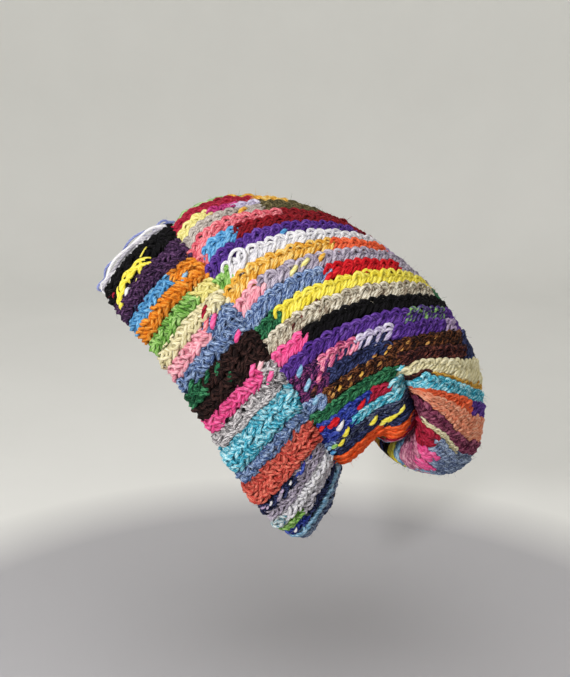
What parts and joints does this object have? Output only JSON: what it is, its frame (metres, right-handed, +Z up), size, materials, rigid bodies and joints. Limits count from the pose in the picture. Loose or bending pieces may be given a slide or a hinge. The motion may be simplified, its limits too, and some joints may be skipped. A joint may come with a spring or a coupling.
{
  "type": "slouchy crochet hat",
  "caption": "Slouchy crochet hat with lengthwise ribs, a turned-up cuff and a creased, gathered end that droops behind the head.",
  "frame": {"origin": "middle of the head opening, in the plane of the cuff's fold, where a head goes in", "axes": "+Y from the face side to the drooping end, +Z up as worn, +X to the wearer's left; the opening leans back as in the picture"},
  "size_m": [0.1736, 0.2741, 0.2482],
  "materials": {
    "crown_yarn": "crocheted worsted yarn in many colours",
    "cuff_yarn": "crocheted worsted yarn in many colours"
  },
  "bodies": {
    "root": {"crown_band": "crown_yarn", "crown_body": "crown_yarn", "crown_end": "crown_yarn", "cuff": "cuff_yarn"}
  },
  "joints": []
}
